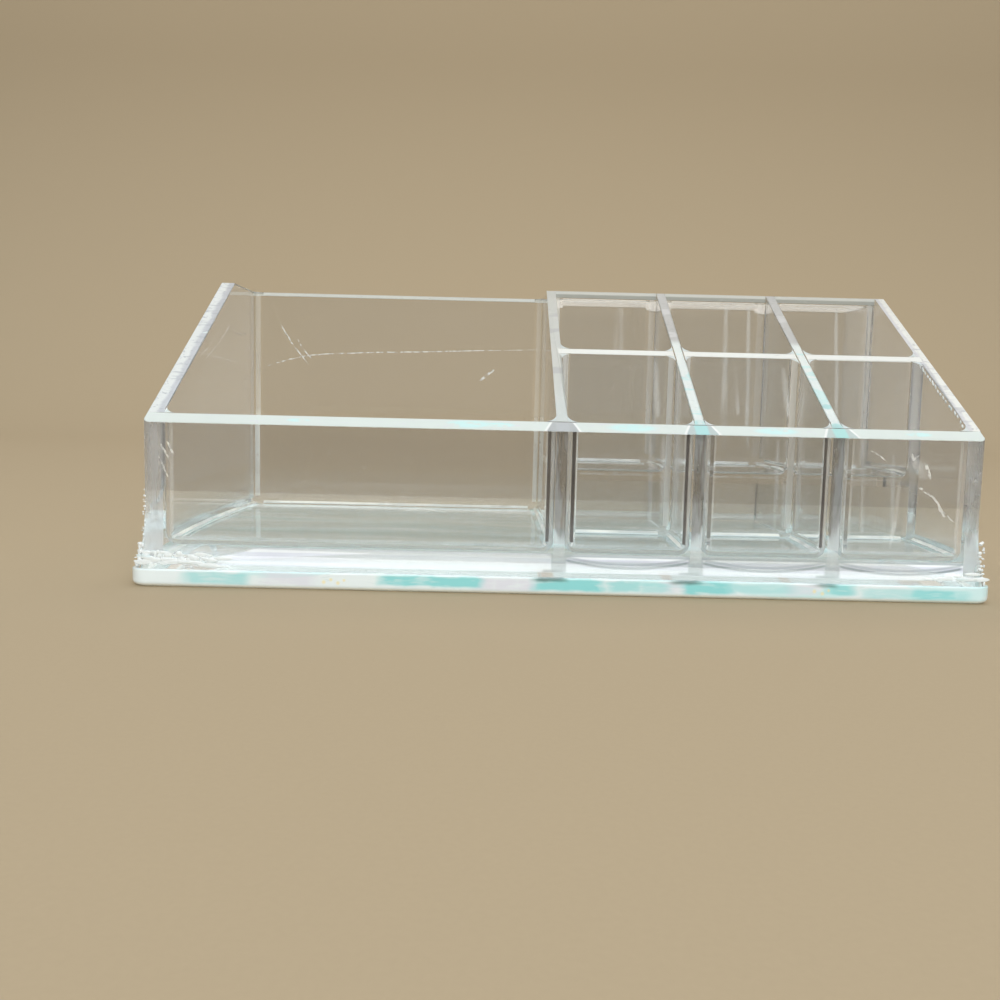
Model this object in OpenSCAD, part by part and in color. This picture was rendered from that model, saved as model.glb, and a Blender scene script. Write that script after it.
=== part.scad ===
// Clear vanity organizer of cemented acrylic sheet: one large compartment on the left and
// six small ones on the right, with a low front, sloping sides and a level back.
// It stands on Z = 0 with its front towards -Y, and the middle of its base is the origin.

/* [Body] */
// Width over the two side walls
body_w = 239; // [190:1:320]
// Depth over the front and back walls
body_d = 118; // [102:1:170]
// Height of the front wall's outer edge above the table
front_h = 46.5; // [40:0.5:60]
// Height of the level part of the top edge above the table
back_h = 94; // [80:0.5:130]
// Radius of the four upright outer corners
body_corner_r = 2; // [0.5:0.25:2.75]

/* [Base] */
// Thickness of the base plate
base_t = 5; // [3.5:0.5:8]
// How far the base plate stands out past the walls on every side
base_lip = 3.5; // [3:0.25:6]
// Radius of the base plate's corners, seen from above
base_corner_r = 5; // [3.5:0.5:10]
// Radius of the base plate's lower edge
base_edge_r = 1.6; // [0.5:0.1:1.7]
// Radius of the base plate's upper edge
base_top_r = 0.4; // [0.2:0.1:1]
// Thickness of the floor plate that lies on the base plate inside the walls
floor_t = 5.6; // [3:0.2:8]

/* [Sheet] */
// Thickness of the front wall
front_wall_t = 4.4; // [3:0.1:6]
// Thickness of the left wall
left_wall_t = 4.8; // [3:0.1:6]
// Thickness of the right wall
right_wall_t = 3.2; // [3:0.1:6]
// Thickness of the back wall
back_wall_t = 3.2; // [3:0.1:6]
// Thickness of the main, column and row dividers
divider_t = 3.2; // [2:0.1:5]
// Thickness of the upright panel behind the rear compartments
riser_t = 3; // [2:0.1:5]
// Thickness of the ledge that closes the top behind that panel
ledge_t = 2.5; // [2:0.1:5]
// How far the ledge stands out in front of that panel
ledge_nose = 3; // [0.5:0.5:8]
// Thickness of the raised floors in the rear compartments
shelf_t = 3; // [2:0.1:5]

/* [Compartments] */
// Clear width of each small compartment
small_w = 36.4; // [28:0.2:44]
// Clear depth of the front row of small compartments
front_row_d = 36.6; // [30:0.2:44]
// Clear depth of the rear row of small compartments
rear_row_d = 42; // [32:0.5:48]
// Height of the rear compartments' raised floors above the table
shelf_z = 32.3; // [20:0.1:50]

/* [Joints] */
// Depth of the grooves in the floor plate that the dividers stand in
groove_d = 2; // [0.5:0.1:2.5]
// Depth of the housings in the main divider and the right wall
housing_d = 1; // [0.3:0.1:1.5]
// Clearance across a groove, a housing or a cross-halving slot
slot_clear = 0.1; // [0.02:0.01:0.3]

/* [Cement] */
// Radius of the cement fillets inside the compartments
seam_r = 3.6; // [1:0.1:5]
// How far the hollow of a fillet runs past the faces that it joins
seam_bite = 0.05; // [0.02:0.01:0.1]
// Height of the cement fillet round the foot of the outer walls
foot_h = 22; // [6:0.5:30]
// How far the foot fillet comes out over the base plate
foot_run = 2.6; // [0.5:0.1:3]

/* [Hidden] */

$fn = 32;
// How far a cutting solid runs past the faces that it cuts
overrun = 1;
quarter_turn = 90;
columns = 3;
// Where the foot fillet's hollow is deepest, as a share of its run and of its height
foot_waist = 0.32;

clear_sheet = [0.84, 0.92, 0.94, 0.45];
base_tint = [0.72, 0.90, 0.91, 0.6];
cement_tint = [0.93, 0.97, 0.97, 0.6];

// Levels
floor_top = base_t + floor_t;
foot_of_dividers = floor_top - groove_d;
ledge_under = back_h - ledge_t;

// Depths, counted from the outer face of the front wall
row_front = front_wall_t + front_row_d;
row_back = row_front + divider_t;
riser_front = row_back + rear_row_d;
riser_back = riser_front + riser_t;
slope_run = riser_front - ledge_nose;
back_inner = body_d - back_wall_t;
rise_per_run = (back_h - front_h) / slope_run;

// Widths, counted from the middle
right_inner = body_w / 2 - right_wall_t;
left_inner = left_wall_t - body_w / 2;
column_pitch = small_w + divider_t;
main_right = right_inner - columns * small_w - (columns - 1) * divider_t;
main_left = main_right - divider_t;

// Left face of small column i, counted from 0
function column_left(i) = main_right + i * column_pitch;
function column_right(i) = column_left(i) + small_w;
// Height of the top edge at a depth y
function top_at(y) = min(back_h, front_h + y * rise_per_run);

// The column and row dividers cross at half of their height
cross_z = (foot_of_dividers + top_at(row_front)) / 2;

// Puts what is drawn from the front face back over the origin
module placed() {
    translate([0, -body_d / 2, 0]) children();
}

// A flat panel between two opposite corners
module panel(low, high) {
    translate(low) cube(high - low);
}

// All that lies below the top edge: low front, slope, level back
module under_top() {
    rotate([90, 0, 90]) translate([0, 0, -body_w / 2 - overrun])
        linear_extrude(height = body_w + 2 * overrun)
            polygon([
                [-overrun, 0],
                [body_d + overrun, 0],
                [body_d + overrun, back_h],
                [slope_run, back_h],
                [-overrun, front_h - overrun * rise_per_run]
            ]);
}

// The body's outline seen from above, with rounded corners
module body_plan() {
    inset = body_corner_r;
    half_w = body_w / 2;
    panel([-half_w + inset, 0, 0], [half_w - inset, body_d, back_h + overrun]);
    panel([-half_w, inset, 0], [half_w, body_d - inset, back_h + overrun]);
    for (x = [-half_w + inset, half_w - inset], y = [inset, body_d - inset])
        translate([x, y, 0]) cylinder(h = back_h + overrun, r = inset);
}

// Grooves or housings for an upright panel, widened by the clearance
module slot(low, high, side) {
    gap = side * slot_clear / 2;
    panel(low - gap, high + gap);
}

// Base plate: a slab with round corners and round edges
module base_plate() {
    half_w = body_w / 2 + base_lip;
    front = -base_lip;
    back = body_d + base_lip;
    turn = base_corner_r;
    long_run = 2 * (half_w - turn);
    short_run = back - front - 2 * turn;
    color(base_tint) placed() union() {
        panel([turn - half_w, front + turn, 0], [half_w - turn, back - turn, base_t]);
        translate([half_w - turn, front + turn, 0]) base_run(short_run, 0);
        translate([half_w - turn, back - turn, 0]) base_run(long_run, 1);
        translate([turn - half_w, back - turn, 0]) base_run(short_run, 2);
        translate([turn - half_w, front + turn, 0]) base_run(long_run, 3);
        for (x = [turn - half_w, half_w - turn], y = [front + turn, back - turn])
            translate([x, y, 0]) rotate_extrude() base_section();
    }
}

// A straight run of the base plate's edge, turned by quarter turns
module base_run(run, quarter) {
    rotate([0, 0, quarter * quarter_turn]) rotate([quarter_turn, 0, 0]) translate([0, 0, -run])
        linear_extrude(height = run) base_section();
}

// Half section of the base plate, as wide as its corner
module base_section() {
    turn = base_corner_r;
    lower = base_edge_r;
    upper = base_top_r;
    square([turn - lower, base_t]);
    translate([0, lower]) square([turn - upper, base_t - lower]);
    translate([0, lower]) square([turn, base_t - lower - upper]);
    translate([turn - lower, lower]) circle(r = lower);
    translate([turn - upper, base_t - upper]) circle(r = upper);
}

// Floor plate, grooved for everything that stands on it
module floor_plate() {
    groove_top = floor_top + overrun;
    color(clear_sheet) placed() difference() {
        panel([left_inner, front_wall_t, base_t], [right_inner, back_inner, floor_top]);
        slot([main_left, front_wall_t - overrun, foot_of_dividers],
             [main_right, back_inner + overrun, groove_top], [1, 0, 0]);
        for (i = [0 : columns - 2])
            slot([column_right(i), front_wall_t - overrun, foot_of_dividers],
                 [column_left(i + 1), riser_front, groove_top], [1, 0, 0]);
        for (y = [[row_front, row_back], [riser_front, riser_back]])
            slot([main_left, y[0], foot_of_dividers],
                 [right_inner + overrun, y[1], groove_top], [0, 1, 0]);
    }
}

// Front wall, with its top edge on the slope
module front_wall() {
    color(clear_sheet) placed() intersection() {
        panel([-body_w / 2, 0, base_t], [body_w / 2, front_wall_t, back_h]);
        under_top();
        body_plan();
    }
}

module back_wall() {
    color(clear_sheet) placed() intersection() {
        panel([-body_w / 2, back_inner, base_t], [body_w / 2, body_d, back_h]);
        body_plan();
    }
}

module left_wall() {
    color(clear_sheet) placed() intersection() {
        panel([-body_w / 2, front_wall_t, base_t], [left_inner, back_inner, back_h]);
        under_top();
    }
}

// Right wall, housed for the ends of the row divider and the riser
module right_wall() {
    color(clear_sheet) placed() difference() {
        intersection() {
            panel([right_inner, front_wall_t, base_t], [body_w / 2, back_inner, back_h]);
            under_top();
        }
        end_housings(right_inner - overrun, right_inner + housing_d);
    }
}

// The two upright housings that take the row divider and the riser, from x0 to x1
module end_housings(x0, x1) {
    slot([x0, row_front, foot_of_dividers], [x1, row_back, back_h + overrun], [0, 1, 0]);
    slot([x0, riser_front, foot_of_dividers], [x1, riser_back, ledge_under], [0, 1, 0]);
}

// Main divider between the large compartment and the small ones
module main_divider() {
    color(clear_sheet) placed() difference() {
        intersection() {
            panel([main_left, front_wall_t, foot_of_dividers], [main_right, back_inner, back_h]);
            under_top();
        }
        end_housings(main_right - housing_d, main_right + overrun);
    }
}

// Divider on the right of small column i, slotted from below over the row divider
module column_divider(i) {
    x0 = column_right(i);
    x1 = column_left(i + 1);
    color(clear_sheet) placed() difference() {
        intersection() {
            panel([x0, front_wall_t, foot_of_dividers], [x1, riser_front, back_h]);
            under_top();
        }
        panel([x0 - overrun, slope_run, ledge_under],
              [x1 + overrun, riser_front + overrun, back_h + overrun]);
        slot([x0 - overrun, row_front, foot_of_dividers - overrun],
             [x1 + overrun, row_back, cross_z], [0, 1, 0]);
    }
}

// Row divider across the small columns, slotted from above for the column dividers
module row_divider() {
    color(clear_sheet) placed() difference() {
        intersection() {
            panel([main_right - housing_d, row_front, foot_of_dividers],
                  [right_inner + housing_d, row_back, back_h]);
            under_top();
        }
        for (i = [0 : columns - 2])
            slot([column_right(i), row_front - overrun, cross_z],
                 [column_left(i + 1), row_back + overrun, back_h + overrun], [1, 0, 0]);
    }
}

// Upright panel behind the rear compartments
module rear_riser() {
    color(clear_sheet) placed()
        panel([main_right - housing_d, riser_front, foot_of_dividers],
              [right_inner + housing_d, riser_back, ledge_under]);
}

// Ledge from the riser back to the back wall
module top_ledge() {
    color(clear_sheet) placed()
        panel([main_right, slope_run, ledge_under], [right_inner, back_inner, back_h]);
}

// Raised floor of the rear compartment in small column i
module raised_floor(i) {
    color(clear_sheet) placed()
        panel([column_left(i), row_back, shelf_z - shelf_t],
              [column_right(i), riser_front, shelf_z]);
}

// The open space of a compartment, with round upright corners and floor corners
module round_cell(low, high) {
    x =[low[0] - seam_bite + seam_r, high[0] + seam_bite - seam_r];
    y = [low[1] - seam_bite + seam_r, high[1] + seam_bite - seam_r];
    z = low[2] - seam_bite + seam_r;
    hull() for (a = x, b = y) translate([a, b, z]) {
        sphere(r = seam_r);
        cylinder(h = high[2] - z + overrun, r = seam_r);
    }
}

// Cement fillets round the floor and up the corners of one compartment
module seam_fillet(low, high) {
    color(cement_tint) placed() intersection() {
        difference() {
            panel(low, high);
            round_cell(low, high);
        }
        under_top();
    }
}

module seam_fillet_large() {
    seam_fillet([left_inner, front_wall_t, floor_top], [main_left, back_inner, back_h]);
}

module seam_fillet_front(i) {
    seam_fillet([column_left(i), front_wall_t, floor_top], [column_right(i), row_front, back_h]);
}

// The rear fillets stop under the ledge
module seam_fillet_rear(i) {
    difference() {
        seam_fillet([column_left(i), row_back, shelf_z], [column_right(i), riser_front, back_h]);
        color(cement_tint) placed()
            panel([column_left(i) - overrun, slope_run, ledge_under],
                  [column_right(i) + overrun, riser_front + overrun, back_h + overrun]);
    }
}

// Cement run round the outside of the walls, on top of the base plate
module foot_fillet() {
    half_w = body_w / 2;
    turn = body_corner_r;
    color(cement_tint) placed() union() {
        for (side = [-1, 1]) {
            translate([side * half_w, turn, base_t]) rotate([90, 0, 180])
                linear_extrude(height = body_d - 2 * turn)
                    foot_section(-side);
        }
        translate([-half_w + turn, 0, base_t]) rotate([90, 0, 90])
            linear_extrude(height = body_w - 2 * turn) foot_section(-1);
        translate([-half_w + turn, body_d, base_t]) rotate([90, 0, 90])
            linear_extrude(height = body_w - 2 * turn) foot_section(1);
        for (x = [-half_w + turn, half_w - turn], y = [turn, body_d - turn])
            translate([x, y, base_t]) foot_corner(turn, x < 0, y < body_d / 2);
    }
}

// Hollow triangular section, standing out to the side that dir gives
module foot_section(dir) {
    polygon([
        [0, 0],
        [dir * foot_run, 0],
        [dir * foot_run * foot_waist, foot_h * foot_waist],
        [0, foot_h]
    ]);
}

// A quarter turn of the foot fillet round an upright corner
module foot_corner(turn, on_left, at_front) {
    reach = turn + foot_run + overrun;
    intersection() {
        rotate_extrude() translate([turn, 0]) foot_section(1);
        translate([on_left ? -reach : 0, at_front ? -reach : 0, 0])
            cube([reach, reach, foot_h]);
    }
}

base_plate();
floor_plate();
front_wall();
back_wall();
left_wall();
right_wall();
main_divider();
column_divider(0);  // column_divider_1
column_divider(1);  // column_divider_2
row_divider();
rear_riser();
top_ledge();
raised_floor(0);  // raised_floor_1
raised_floor(1);  // raised_floor_2
raised_floor(2);  // raised_floor_3
seam_fillet_large();
seam_fillet_front(0);  // seam_fillet_front_1
seam_fillet_front(1);  // seam_fillet_front_2
seam_fillet_front(2);  // seam_fillet_front_3
seam_fillet_rear(0);  // seam_fillet_rear_1
seam_fillet_rear(1);  // seam_fillet_rear_2
seam_fillet_rear(2);  // seam_fillet_rear_3
foot_fillet();
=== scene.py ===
"""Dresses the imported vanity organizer: clear cemented sheet, set cement, bright edges, stage and camera.

Everything is in metres, in the CAD's frame: +X to the right, +Y to the back, +Z up. The tables are in
millimetres.
"""

import math
import random
from functools import partialmethod, reduce

import bmesh
import bpy
from mathutils import Matrix, Vector
from mathutils.bvhtree import BVHTree


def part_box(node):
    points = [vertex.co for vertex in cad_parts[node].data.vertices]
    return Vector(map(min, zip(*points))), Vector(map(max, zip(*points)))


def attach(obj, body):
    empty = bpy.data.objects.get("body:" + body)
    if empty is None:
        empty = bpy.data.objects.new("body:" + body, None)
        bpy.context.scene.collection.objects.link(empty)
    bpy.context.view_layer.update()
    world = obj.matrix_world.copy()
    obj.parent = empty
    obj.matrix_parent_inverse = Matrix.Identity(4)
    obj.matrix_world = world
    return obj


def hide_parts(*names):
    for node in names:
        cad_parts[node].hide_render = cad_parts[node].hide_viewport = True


bl_info = {
    "name": "Vanity organizer",
    "version": (1, 0, 0),
    "blender": (4, 5, 0),
    "location": "3D View > Sidebar > Organizer",
    "description": "Dresses a packed vanity organizer in clear cemented sheet",
    "category": "Object",
}

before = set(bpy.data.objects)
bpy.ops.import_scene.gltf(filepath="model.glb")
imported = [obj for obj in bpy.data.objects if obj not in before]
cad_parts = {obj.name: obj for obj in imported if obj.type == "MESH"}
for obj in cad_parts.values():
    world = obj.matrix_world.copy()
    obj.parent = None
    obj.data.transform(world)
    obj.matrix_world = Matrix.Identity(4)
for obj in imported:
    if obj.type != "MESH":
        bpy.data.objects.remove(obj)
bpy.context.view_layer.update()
MM = 0.001
BODY = "root"

PANELS = [
    "floor_plate", "front_wall", "back_wall", "left_wall", "right_wall",
    "main_divider", "column_divider_1", "column_divider_2", "row_divider",
    "rear_riser", "top_ledge", "raised_floor_1", "raised_floor_2", "raised_floor_3",
]
SEAMS = [
    "seam_fillet_large",
    "seam_fillet_front_1", "seam_fillet_front_2", "seam_fillet_front_3",
    "seam_fillet_rear_1", "seam_fillet_rear_2", "seam_fillet_rear_3",
]
SEAM_R = 3.6 * MM
SEAM_BITE = 0.05 * MM
SEAM_STEPS = 10
BODY_CORNER_R = 2 * MM
FOOT_CORNER_R = 4.4 * MM
# The band along the top of the back wall that wears the back rim's painted light
BACK_BAND = 1.1 * MM
# How clear the foot's cement is, in steps from its thin top edge down, and how many bands each step has
FOOT_CLEAR = (0.985, 0.965, 0.93, 0.86)
FOOT_BANDS = 5
ACRYLIC_IOR = 1.49
# Points that are no further apart than this count as one
HAIR = 1e-6

# Material places on a cut panel, and on a seam, which shares the first three
CLEAR, RIM, JOINT, JOINT_END, JOINT_CLOUDY = range(5)
# SHADED and HALF_SHADED wear painted shade, BRIGHT and SOFT painted light
SHADED, HALF_SHADED, BRIGHT, THIN, SOFT = range(3, 8)

# What the panels wear where it isn't the plain sheet, the row rim or the whitish joint
BODIES = {"front_wall": "Shady sheet", "left_wall": "Hazy sheet", "right_wall": "Hazy sheet"}
RIMS = {"front_wall": "Front rim", "back_wall": "Back rim", "left_wall": "Left rim",
        "right_wall": "Right rim", "main_divider": "Main divider rim", "column_divider_1": "Column rim",
        "column_divider_2": "Column rim", "top_ledge": "Ledge nose"}
FRONT_ENDS = {"floor_plate": "Floor front joint", "left_wall": "Corner joint",
              "right_wall": "Right corner joint"}
# The seams whose front uprights show dark lines of painted shade, and on which side of their compartment
DARK_LINES = {"seam_fillet_large": {"right": SHADED},
              "seam_fillet_front_1": {"left": SHADED, "right": SHADED},
              "seam_fillet_front_2": {"left": HALF_SHADED, "right": SHADED},
              "seam_fillet_front_3": {"left": HALF_SHADED}}

# The middle of each small column, and how far apart they are
COLUMN_HEARTS = (18.9, 58.5, 98.1)
COLUMN_PITCH = 39.6
# Teal and yellow places along the edges, painted reflections and painted glints: x, y, z, radius
COLUMN_TEAL = [(38.7, -54.0, 49.3, 2.6), (78.3, -54.0, 49.3, 2.6), (78.3, -44.0, 55.0, 2.0)]
RIM_TEAL = [(x, -56.8, 47.7, radius) for x, radius in (
    (-27.5, 2.6), (-19.0, 1.6), (19.0, 2.6), (60.0, 2.3), (-76.0, 1.2), (101.0, 1.4))]
BASE_YELLOW = [(x, -62.5, z, radius) for x, z, radius in (
    (-67.6, 2.4, 0.8), (-65.6, 3.1, 0.7), (-63.6, 2.2, 0.8), (-61.9, 3.0, 0.6), (71.6, 2.8, 0.8),
    (73.9, 2.2, 0.8), (75.6, 3.1, 0.6))]
# Bars of painted light and shade along the base plate's front edge, teal and lilac for painted reflection and
# dark for painted shade: from x, to x, from z, to z, how strong
BASE_TEAL_BARS = [(-105, -91, 1.7, 3.9, 0.7), (-50, -25, 2.3, 4.0, 1.0), (-6, 10, 1.9, 4.2, 1.0),
                  (15, 19.6, 1.9, 3.9, 0.8), (23.6, 27.6, 1.8, 3.6, 0.6), (36, 45, 1.7, 4.1, 1.0),
                  (45, 64, 2.6, 3.8, 0.45), (76, 80.6, 2.2, 4.4, 0.9), (87, 113, 1.4, 3.2, 0.55),
                  (100, 110, 1.6, 3.1, 0.9)]
BASE_LILAC_BARS = [(-83, -72, 2.0, 4.2, 0.7), (-22.8, -20.6, 1.8, 4.0, 0.8), (-17.4, -14.8, 1.8, 4.0, 0.8),
                   (-12, -9.4, 1.8, 4.0, 0.8), (30, 34, 1.8, 4.2, 0.5), (66, 70, 2.0, 4.0, 0.5)]
BASE_DARK_BARS = [(-5.6, -1.6, 4.5, 4.7, 0.85), (33.6, 36.2, 4.5, 4.7, 0.85), (73.2, 75.2, 4.4, 4.6, 0.7)]
# Where the dividers meet the front rim, painted darker as shade and teal at the columns as painted
# reflection: middle, colour in the middle, colour at the sides
MOUTHS = [(-0.9, (0.46, 0.49, 0.51), (0.42, 0.45, 0.46)), (38.7, (0.40, 0.70, 0.70), (0.46, 0.55, 0.55)),
          (78.3, (0.40, 0.71, 0.69), (0.48, 0.57, 0.56))]

# Lines of cement at the foot: points, how many beads, how far they stray, smallest and largest half size
FOOT_BEADS = [
    ([(-121.0, -60.6, 6.0), (-120.2, -59.9, 8.5), (-119.7, -59.3, 12)], 34, (0.8, 0.6, 0.8), 0.14, 0.72),
    ([(-119.7, -59.2, 12), (-119.3, -58.8, 18), (-119.2, -58.6, 27)], 20, (0.35, 0.3, 1.0), 0.10, 0.36),
    ([(-121.7, -57, 6.0), (-121.5, -36, 6.0)], 22, (0.45, 0.8, 0.6), 0.12, 0.55),
    ([(121.0, -60.6, 6.0), (120.2, -59.9, 8.5), (119.8, -59.3, 18)], 24, (0.7, 0.5, 0.8), 0.14, 0.60),
    ([(121.8, -56, 6.0), (121.6, -30, 6.0)], 18, (0.4, 0.8, 0.5), 0.12, 0.5),
    ([(-121.0, 60.6, 6.0), (-119.6, 59.2, 13)], 14, (0.5, 0.4, 0.8), 0.12, 0.45),
    ([(121.0, 60.6, 6.0), (119.6, 59.2, 13)], 14, (0.5, 0.4, 0.8), 0.12, 0.45),
]
FOOT_CRUST = [
    ([(-118.6, -61.0, 7.4), (-112.0, -61.0, 7.2), (-97.0, -61.4, 6.4)], 15, (1.2, 0.1, 0.7),
     (1.1, 0.15, 0.28), (3.6, 0.35, 0.8)),
    ([(-119.6, -60.6, 8.8), (-110.0, -60.8, 8.4), (-99.0, -61.2, 7.2)], 30, (0.9, 0.15, 1.2),
     (0.35, 0.2, 0.3), (1.4, 0.45, 1.0)),
    ([(-116.5, -60.5, 10.0), (-105.0, -60.8, 9.0), (-96.0, -61.0, 8.0)], 9, (1.2, 0.1, 0.6),
     (1.0, 0.12, 0.2), (3.0, 0.28, 0.6)),
    ([(106.0, -61.3, 6.7), (118.5, -61.1, 7.6)], 9, (1.0, 0.1, 1.0), (0.8, 0.12, 0.25), (2.8, 0.3, 0.7)),
]

# Strokes on the upright faces: (x, z) points and a width
FRONT_SCUFFS = [
    ([(-114.3, 40.2), (-111.9, 36.0)], 0.55), ([(-112.5, 41.1), (-110.6, 37.2)], 0.5),
    ([(-114.9, 36.4), (-113.0, 33.0)], 0.5), ([(-113.6, 33.8), (-112.4, 31.0)], 0.35),
    ([(86.5, 43.0), (88.8, 41.8), (91.2, 40.0)], 0.35), ([(97.8, 42.6), (99.6, 39.6)], 0.7),
    ([(100.2, 41.9), (98.6, 40.4)], 0.5), ([(102.2, 40.2), (103.2, 37.6), (103.9, 35.2)], 0.9),
    ([(98.6, 34.8), (100.6, 33.2), (102.6, 31.6), (104.8, 30.4), (106.4, 28.6), (107.7, 26.5),
      (109.3, 24.9), (111.4, 23.2)], 0.6),
    ([(107.0, 27.2), (108.9, 24.6)], 0.9),
]
BACK_SCUFFS = [
    ([(-110.1, 65.6), (-105.8, 67.0), (-101.6, 68.3), (-94.0, 70.0), (-85.6, 70.9), (-66.0, 71.9),
      (-50.0, 72.4), (-26.0, 73.5), (-3.6, 74.3)], 0.42),
    ([(-105.1, 82.1), (-103.0, 78.6), (-100.0, 73.8), (-94.0, 66.5)], 0.5),
    ([(-98.2, 76.0), (-96.6, 73.0), (-92.8, 68.8)], 0.45),
    ([(-26.3, 61.6), (-23.6, 64.0), (-20.8, 66.0)], 0.9),
]
RISER_LIGHTS = [
    ([(24.3, 89.0), (24.7, 72.0)], 4.2), ([(63.2, 90.4), (64.4, 38.0)], 2.6),
    ([(71.6, 90.4), (73.0, 38.0)], 1.8), ([(103.6, 90.4), (106.0, 40.0)], 1.8),
    ([(3.4, 90.6), (35.5, 90.6)], 1.0), ([(42.0, 90.6), (75.0, 90.4)], 1.0),
    ([(81.5, 90.4), (115.0, 90.2)], 1.0),
]
ROW_LIGHTS = [
    ([(30.9, 67.9), (32.6, 50.4)], 2.2), ([(56.6, 66.6), (58.4, 51.7)], 1.6),
    ([(72.1, 67.0), (74.7, 51.4)], 2.2), ([(30.2, 44.9), (31.0, 13.3)], 1.6),
    ([(34.4, 44.0), (35.6, 12.0)], 2.6), ([(71.4, 44.0), (71.9, 13.0)], 1.6),
    ([(74.0, 44.0), (74.9, 12.0)], 2.4), ([(98.7, 44.2), (100.5, 12.7)], 1.6),
    ([(109.1, 40.0), (110.0, 14.0)], 1.8),
]
FRONT_LIGHTS = [([(95.3, 34.8), (94.9, 24.0), (93.4, 15.0)], 1.5),
                ([(99.0, 40.5), (101.5, 38.0), (102.6, 35.0)], 3.2)]
# Level lights in each column, at the raised floor's two ends: half length, height, width
LEVEL_LIGHTS = ((16.5, 36.3, 0.8), (13.0, 31.5, 0.6), (10.0, 31.5, 0.4), (9.0, 36.3, 0.5))


# ---------------------------------------------------------------- settings

def length(name, description, default, low, high):
    """A length setting, in millimetres."""
    return bpy.props.FloatProperty(name=name, description=description, default=default * MM, min=low * MM,
                                   max=high * MM, precision=5, unit="LENGTH")


def colour_choice(name, description, default):
    """A colour setting."""
    return bpy.props.FloatVectorProperty(name=name, description=description, default=default, size=3,
                                         min=0, max=1, subtype="COLOR")


class OrganizerSheet(bpy.types.PropertyGroup):
    """Sizes and colours of the clear sheet"""
    edge_round: length("Edge round", "How far each polished edge is rounded", 0.35, 0.05, 1)
    edge_steps: bpy.props.IntProperty(
        name="Edge steps", description="Faces across each rounded edge", default=3, min=1, max=6)
    tint: colour_choice("Sheet tint", "Colour that light takes on in the sheet", (0.895, 0.905, 0.91))
    # the rim white is the front rim's painted light, and the rim teal the painted reflection in patches along
    # the edges
    rim_white: colour_choice("Rim white", "Colour of the front rim", (0.66, 0.73, 0.70))
    rim_teal: colour_choice("Rim teal", "Colour of the teal patches along the edges", (0.40, 0.70, 0.71))


class OrganizerBase(bpy.types.PropertyGroup):
    """Sizes and colours of the base plate"""
    lower_round: length("Lower round", "Radius of the base plate's lower edge", 1.6, 0.2, 2)
    upper_round: length("Upper round", "Radius of the base plate's upper edge", 0.4, 0.1, 1)
    corner_round: length("Corner round", "Radius of the base plate's corners seen from above", 5, 1, 10)
    tint: colour_choice("Base tint", "Colour that light takes on in the base plate", (0.84, 0.95, 0.95))


class OrganizerStage(bpy.types.PropertyGroup):
    """Floor, lamps and camera"""
    floor: colour_choice("Floor", "Colour of the floor and the backdrop", (0.44, 0.357, 0.24))
    world: bpy.props.FloatProperty(
        name="Room light", description="Strength of the light from all round", default=0.55, min=0, max=2)
    key: bpy.props.FloatProperty(
        name="Lamps", description="Power of the three soft lamps, each in its own share of this",
        default=4.2, min=0, max=100, subtype="POWER", unit="POWER")
    lens: bpy.props.FloatProperty(
        name="Lens", description="Focal length on a 36 mm sensor", default=35.67, min=10, max=200,
        unit="CAMERA")


# ---------------------------------------------------------------- shader helpers

def add(tree, kind, inputs=None, out=0, **settings):
    """Adds a node and gives one of its outputs. An input is a plain value, or the output that feeds it."""
    made = tree.nodes.new(kind)
    for key, value in settings.items():
        setattr(made, key, value)
    for key, value in (inputs or {}).items():
        socket = made.inputs[key]
        if isinstance(value, Value):
            tree.links.new(value.socket, socket)
        else:
            socket.default_value = (*value, 1) if socket.type == "RGBA" else value
    return Value(tree, made.outputs[out])


class Value:
    """An output of a node. It takes part in sums like a number."""

    def __init__(self, tree, socket):
        self.tree = tree
        self.socket = socket

    def sum(self, operation, other=0.0):
        return add(self.tree, "ShaderNodeMath", {0: self, 1: other}, operation=operation)

    __add__ = partialmethod(sum, "ADD")
    __sub__ = partialmethod(sum, "SUBTRACT")
    __mul__ = partialmethod(sum, "MULTIPLY")
    __truediv__ = partialmethod(sum, "DIVIDE")
    __lt__ = partialmethod(sum, "LESS_THAN")
    __gt__ = partialmethod(sum, "GREATER_THAN")
    __abs__ = partialmethod(sum, "ABSOLUTE")
    most = partialmethod(sum, "MAXIMUM")

    def __rsub__(self, other):
        return add(self.tree, "ShaderNodeMath", {0: other, 1: self}, operation="SUBTRACT")

    def beside(self, name):
        """Another output of the same node."""
        return Value(self.tree, self.socket.node.outputs[name])

    def axis(self, name):
        """One coordinate of a place, in metres."""
        return add(self.tree, "ShaderNodeSeparateXYZ", {0: self}, name)

    def ramp(self, low, high):
        """0 below low, 1 above high, and smooth between them."""
        return add(self.tree, "ShaderNodeMapRange", {"Value": self, "From Min": low, "From Max": high},
                   interpolation_type="SMOOTHSTEP", clamp=True)

    def window(self, low, high, soft):
        """1 between low and high (millimetres), fading over soft at both ends."""
        return self.ramp((low - soft) * MM, low * MM) - self.ramp(high * MM, (high + soft) * MM)

    def near(self, place, half):
        """1 at a place along an axis, fading to 0 at half a width (millimetres)."""
        return 1.0 - abs(self - place * MM).ramp(half * 0.5 * MM, half * MM)


def blend(fac, a, b):
    """Colour a where fac is 0 and colour b where it is 1."""
    return add(fac.tree, "ShaderNodeMix", {0: fac, 6: a, 7: b}, 2, data_type="RGBA")


def noise(place, scale, detail=2.0, rough=0.5, twist=0.0):
    """Cloudy noise over a place."""
    return add(place.tree, "ShaderNodeTexNoise", {"Vector": place, "Scale": scale, "Detail": detail,
                                                  "Roughness": rough, "Distortion": twist})


def stretched(place, scale, turn=(0, 0, 0)):
    """A place turned and squeezed, so that a noise over it is drawn out."""
    return add(place.tree, "ShaderNodeMapping", {"Vector": place, "Rotation": turn, "Scale": scale})


def vector(operation, a, b=(0, 0, 0), out=0):
    """One sum on vectors."""
    return add(a.tree, "ShaderNodeVectorMath", {0: a, 1: b}, out, operation=operation)


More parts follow.
